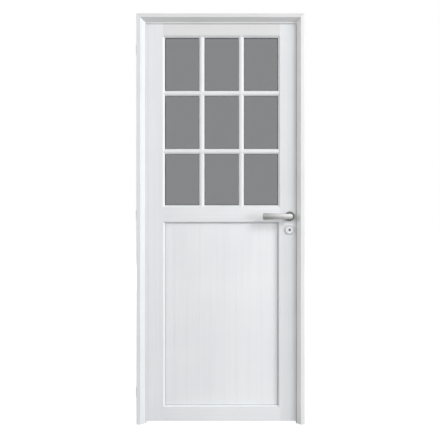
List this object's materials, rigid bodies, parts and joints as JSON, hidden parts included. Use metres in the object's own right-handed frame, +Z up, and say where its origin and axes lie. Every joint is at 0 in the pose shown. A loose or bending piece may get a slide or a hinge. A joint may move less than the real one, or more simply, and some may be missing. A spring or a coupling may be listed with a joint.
{
  "type": "aluminium door",
  "caption": "White aluminium door in its three-sided frame: divided glass above a slatted panel, lever lock, hinged to swing away from the front.",
  "frame": {"origin": "on the hinge jamb's flat outer face, at floor level, in the plane of the frame's stop", "axes": "+X from the hinge side to the lock side, +Y from the front to the back, which is the way the leaf opens, +Z up"},
  "size_m": [0.859, 0.139, 2.05],
  "materials": {
    "white_aluminium": "white powder coat",
    "satin_aluminium": "satin anodised",
    "lock_steel": "brushed",
    "bolt_brass": "worn brass",
    "white_plastic": "gloss white",
    "seal_rubber": "matt pale grey",
    "gasket_rubber": "matt dark grey",
    "glass": "grey tinted float glass"
  },
  "bodies": {
    "frame": {"frame_head": "white_aluminium", "frame_hinge_lower": "white_aluminium", "frame_hinge_middle": "white_aluminium", "frame_hinge_upper": "white_aluminium", "head_seal": "seal_rubber", "hinge_jamb": "white_aluminium", "hinge_seal": "seal_rubber", "lock_jamb": "white_aluminium", "lock_seal": "seal_rubber", "strike_plate": "lock_steel"},
    "leaf": {"bottom_rail": "white_aluminium", "escutcheon_back": "white_plastic", "escutcheon_front": "white_plastic", "glass_beads_back": "white_aluminium", "glass_beads_front": "white_aluminium", "glass_gaskets": "gasket_rubber", "glass_pane": "glass", "glazing_bars_back": "white_aluminium", "glazing_bars_front": "white_aluminium", "hinge_stile": "white_aluminium", "leaf_hinge_lower": "white_aluminium", "leaf_hinge_middle": "white_aluminium", "leaf_hinge_upper": "white_aluminium", "lock_body": "lock_steel", "lock_bolts": "bolt_brass", "lock_rail": "white_aluminium", "lock_stile": "white_aluminium", "panel_beads_back": "white_aluminium", "panel_beads_front": "white_aluminium", "rosette_back": "satin_aluminium", "rosette_front": "satin_aluminium", "slat_1": "white_aluminium", "slat_10": "white_aluminium", "slat_2": "white_aluminium", "slat_3": "white_aluminium", "slat_4": "white_aluminium", "slat_5": "white_aluminium", "slat_6": "white_aluminium", "slat_7": "white_aluminium", "slat_8": "white_aluminium", "slat_9": "white_aluminium", "top_rail": "white_aluminium"},
    "handle": {"lever_front": "satin_aluminium", "lever_back": "satin_aluminium", "spindle": "lock_steel"}
  },
  "joints": [
    {"name": "leaf_swing", "type": "hinge", "parent": "frame", "child": "leaf", "pos_m": [-0.0115, 0.0485, 0], "axis": [0, 0, 1], "range_deg": [0, 110]},
    {"name": "lever_turn", "type": "hinge", "parent": "leaf", "child": "handle", "pos_m": [0.764, 0.023, 1.038], "axis": [0, -1, 0], "range_deg": [0, 40], "stiffness_Nm_per_rad": 1.5, "springref_deg": -20.05}
  ]
}
